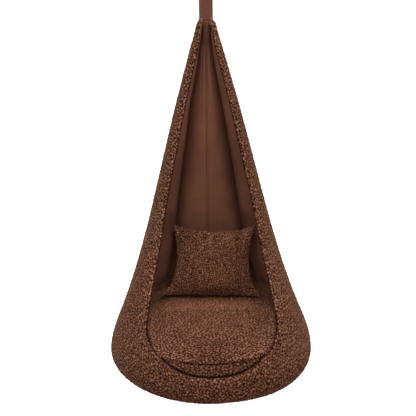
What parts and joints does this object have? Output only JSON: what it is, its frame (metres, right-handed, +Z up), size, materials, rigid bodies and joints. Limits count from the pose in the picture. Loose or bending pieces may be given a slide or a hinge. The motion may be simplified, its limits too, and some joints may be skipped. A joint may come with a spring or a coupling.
{
  "type": "hanging chair",
  "caption": "Hanging cone-shaped pod chair in boucle fabric with a teardrop opening, lined inside, round seat cushion and pillow, hung from a strap, swivel and ceiling plate.",
  "frame": {"origin": "centre of the ceiling plate's upper face, where it meets the ceiling", "axes": "+Z up along the swivel axis, +X along the clevis pin to the sitter's left, which is the right when the chair is seen from the front, -Y to the front of the chair"},
  "size_m": [0.9004, 0.9, 1.8941],
  "materials": {
    "black_steel": "satin",
    "zinc_steel": "satin",
    "spring_steel": "satin",
    "bearing_steel": "polished",
    "bronze": "satin",
    "webbing": "matte",
    "strap_fabric": "matte",
    "boucle": "matte",
    "suede_lining": "matte",
    "bottom_cloth": "matte",
    "wadding": "matte",
    "foam": "matte",
    "plywood": "matte"
  },
  "bodies": {
    "ceiling_fixing": {"ceiling_plate": "black_steel", "clevis_pin": "zinc_steel", "pin_clip": "spring_steel"},
    "hanger": {"hanger_link": "black_steel", "link_bush": "bronze", "bearing_lower_race": "bearing_steel", "bearing_balls": "bearing_steel"},
    "swivel": {"bearing_upper_race": "bearing_steel", "swivel_nut": "zinc_steel", "swivel_eye": "zinc_steel"},
    "gate": {"carabiner_gate": "zinc_steel"},
    "pillow": {"pillow_cover": "boucle", "pillow_fill": "wadding"},
    "chair": {"carabiner_body": "zinc_steel", "gate_pin": "spring_steel", "triangle_ring": "zinc_steel", "hanging_strap": "webbing", "strap_sleeve": "strap_fabric", "apex_cup": "black_steel", "apex_bar": "zinc_steel", "load_straps": "webbing", "left_cover": "boucle", "right_cover": "boucle", "base_cover": "boucle", "bottom_cover": "bottom_cloth", "opening_binding": "boucle", "left_padding": "wadding", "right_padding": "wadding", "rim_bolster": "foam", "lining": "suede_lining", "base_hoop": "black_steel", "base_deck": "plywood", "hoop_saddles": "zinc_steel", "saddle_screws": "zinc_steel", "seat_cushion_cover": "boucle", "seat_cushion_foam": "foam"}
  },
  "joints": [
    {"name": "fore_aft_swing", "type": "hinge", "parent": "ceiling_fixing", "child": "hanger", "pos_m": [0, 0, -0.028], "axis": [1, 0, 0], "range_deg": [-30, 30]},
    {"name": "swivel_spin", "type": "hinge", "parent": "hanger", "child": "swivel", "pos_m": [0, 0, -0.1], "axis": [0, 0, 1], "continuous": true},
    {"name": "side_swing", "type": "hinge", "parent": "swivel", "child": "chair", "pos_m": [0, 0, -0.149], "axis": [0, 1, 0], "range_deg": [-20, 20]},
    {"name": "gate_open", "type": "hinge", "parent": "chair", "child": "gate", "pos_m": [0, -0.02, -0.211], "axis": [-1, 0, 0], "range_deg": [0, 25], "stiffness_Nm_per_rad": 0.1, "springref_deg": -11.46},
    {"name": "pillow_lift_out", "type": "slide", "parent": "chair", "child": "pillow", "axis": [0, -0.9726, 0.2326], "range_m": [0, 0.85]}
  ]
}
